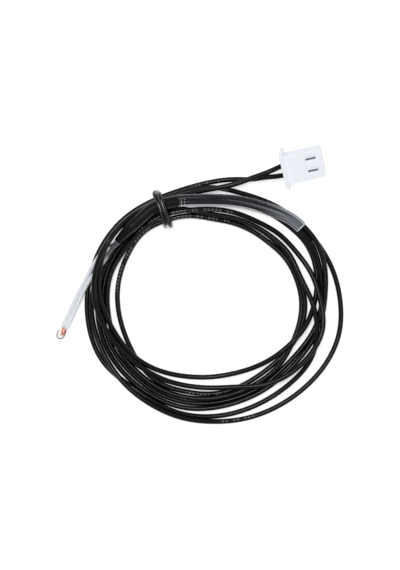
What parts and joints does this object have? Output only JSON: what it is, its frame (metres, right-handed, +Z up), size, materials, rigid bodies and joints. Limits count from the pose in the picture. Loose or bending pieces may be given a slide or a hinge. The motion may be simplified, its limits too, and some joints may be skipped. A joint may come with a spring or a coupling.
{
  "type": "bead thermistor",
  "caption": "Glass bead temperature sensor with clear-sleeved legs on black insulated wires, wound in a loose flat coil with a round tie and a white crimp plug.",
  "frame": {"origin": "middle of the footprint of the sensing end (bead, sleeves, heat-shrink and clear tube), on the surface that the part lies on", "axes": "+Z up from that surface; seen from above with +Y away, the bead is at the lower left and the plug at the upper right"},
  "size_m": [0.0591, 0.0573, 0.0079],
  "materials": {
    "bead_glass": "fire-polished clear glass",
    "chip_ceramic": "sintered oxide ceramic",
    "leg_copper": "copper-clad drawn wire",
    "clear_sleeving": "clear extruded sleeving",
    "solder": "tinned joint",
    "shrink_sleeve": "matte shrunk sleeve",
    "clear_tubing": "translucent extruded tubing",
    "wire_insulation": "semi-gloss extruded insulation",
    "tie_rubber": "glossy round elastic",
    "plug_nylon": "moulded white nylon",
    "terminal_tin": "tin-plated formed strip"
  },
  "bodies": {
    "root": {"glass_bead": "bead_glass", "thermistor_chip": "chip_ceramic", "lead_wire_a": "leg_copper", "lead_wire_b": "leg_copper", "sleeve_a": "clear_sleeving", "sleeve_b": "clear_sleeving", "splice_a": "solder", "splice_b": "solder", "heat_shrink": "shrink_sleeve", "clear_tube": "clear_tubing", "wire_a_probe_end": "wire_insulation", "wire_b_probe_end": "wire_insulation", "wire_coil": "wire_insulation", "wire_a_plug_end": "wire_insulation", "wire_b_plug_end": "wire_insulation", "tie": "tie_rubber", "connector_housing": "plug_nylon", "terminal_a": "terminal_tin", "terminal_b": "terminal_tin"}
  },
  "joints": []
}
